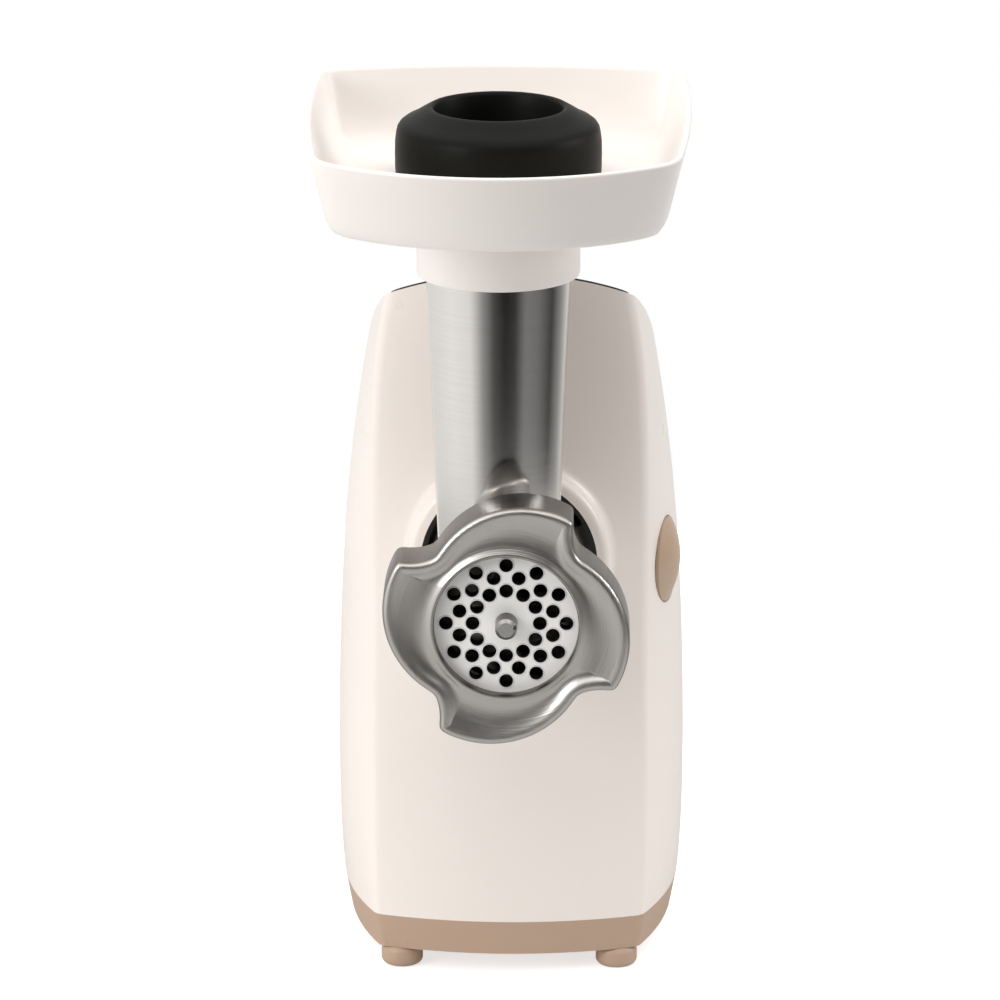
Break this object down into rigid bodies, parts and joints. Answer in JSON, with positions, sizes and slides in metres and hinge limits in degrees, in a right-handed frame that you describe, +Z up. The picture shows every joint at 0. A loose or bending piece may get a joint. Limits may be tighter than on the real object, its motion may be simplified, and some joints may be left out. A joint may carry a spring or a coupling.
{
  "type": "electric meat grinder",
  "caption": "Upright electric meat grinder with a bayonet grinding head, lobed locking ring, hole plate, feed tube, food tray and pusher over a geared motor.",
  "frame": {"origin": "on the table under the middle of the grinder's width and depth", "axes": "+Z up, the grinding head points to -Y, +X to the right as seen from the front"},
  "size_m": [0.1424, 0.3145, 0.352],
  "materials": {
    "white_plastic": "glossy moulded",
    "beige_plastic": "satin moulded",
    "black_plastic": "satin moulded",
    "seal_rubber": "matt",
    "cast_aluminium": "satin cast",
    "steel": "ground",
    "screw_steel": "zinc plated",
    "nylon": "moulded",
    "laminations": "stacked sheet",
    "copper": "enamelled wire",
    "carbon": "pressed"
  },
  "bodies": {
    "body": {"housing": "white_plastic", "top_cover": "white_plastic", "top_seal": "seal_rubber", "base": "beige_plastic", "feet": "beige_plastic", "base_screws": "screw_steel", "cord_gland": "seal_rubber", "switch_body": "black_plastic", "head_socket": "black_plastic", "gear_case": "cast_aluminium", "gear_cover": "cast_aluminium", "case_screws": "screw_steel", "cover_screws": "screw_steel", "gear_pins": "steel", "output_bush": "copper", "motor_bearings": "copper", "field_core": "laminations", "field_coils": "copper", "motor_bracket": "cast_aluminium", "carbon_brushes": "carbon", "brush_holders": "black_plastic", "motor_screws": "screw_steel"},
    "button": {"switch_button": "beige_plastic"},
    "head": {"grinder_head": "cast_aluminium", "head_bush": "nylon", "hole_plate": "steel"},
    "ring": {"locking_ring": "cast_aluminium"},
    "tray": {"food_tray": "white_plastic"},
    "pusher": {"pusher": "black_plastic"},
    "drive": {"output_shaft": "steel", "output_gear": "steel", "feed_screw": "steel", "cutter_blade": "steel"},
    "second_wheel": {"second_gear": "nylon"},
    "first_wheel": {"first_gear": "nylon"},
    "rotor": {"motor_shaft": "steel", "armature_core": "laminations", "armature_winding": "copper", "commutator": "copper", "cooling_fan": "black_plastic"}
  },
  "joints": [
    {"name": "head_twist", "type": "hinge", "parent": "body", "child": "head", "pos_m": [0.0035, -0.01725, 0.1675], "axis": [0, 1, 0], "range_deg": [0, 45]},
    {"name": "ring_turn", "type": "hinge", "parent": "head", "child": "ring", "pos_m": [0.0035, -0.09725, 0.1675], "axis": [0, -1, 0], "range_deg": [0, 540]},
    {"name": "tray_lift", "type": "slide", "parent": "head", "child": "tray", "axis": [0, 0, 1], "range_m": [0, 0.06]},
    {"name": "pusher_slide", "type": "slide", "parent": "tray", "child": "pusher", "axis": [0, 0, 1], "range_m": [0, 0.15]},
    {"name": "button_press", "type": "slide", "parent": "body", "child": "button", "axis": [-0.9781, 0.2079, 0], "range_m": [0, 0.0025], "stiffness_N_per_m": 400},
    {"name": "rotor_spin", "type": "hinge", "parent": "body", "child": "rotor", "pos_m": [0.0035, 0.01275, 0.05425], "axis": [0, 1, 0], "continuous": true},
    {"name": "first_spin", "type": "hinge", "parent": "body", "child": "first_wheel", "pos_m": [0.0035, 0.01275, 0.088], "axis": [0, 1, 0], "continuous": true},
    {"name": "second_spin", "type": "hinge", "parent": "body", "child": "second_wheel", "pos_m": [0.0035, 0.01275, 0.1255], "axis": [0, 1, 0], "continuous": true},
    {"name": "drive_spin", "type": "hinge", "parent": "body", "child": "drive", "pos_m": [0.0035, 0.01275, 0.1675], "axis": [0, 1, 0], "continuous": true}
  ],
  "couplings": [
    {"joint": "first_spin", "follows": "rotor_spin", "ratio": -0.25},
    {"joint": "second_spin", "follows": "rotor_spin", "ratio": 0.0625},
    {"joint": "drive_spin", "follows": "rotor_spin", "ratio": -0.019531}
  ]
}
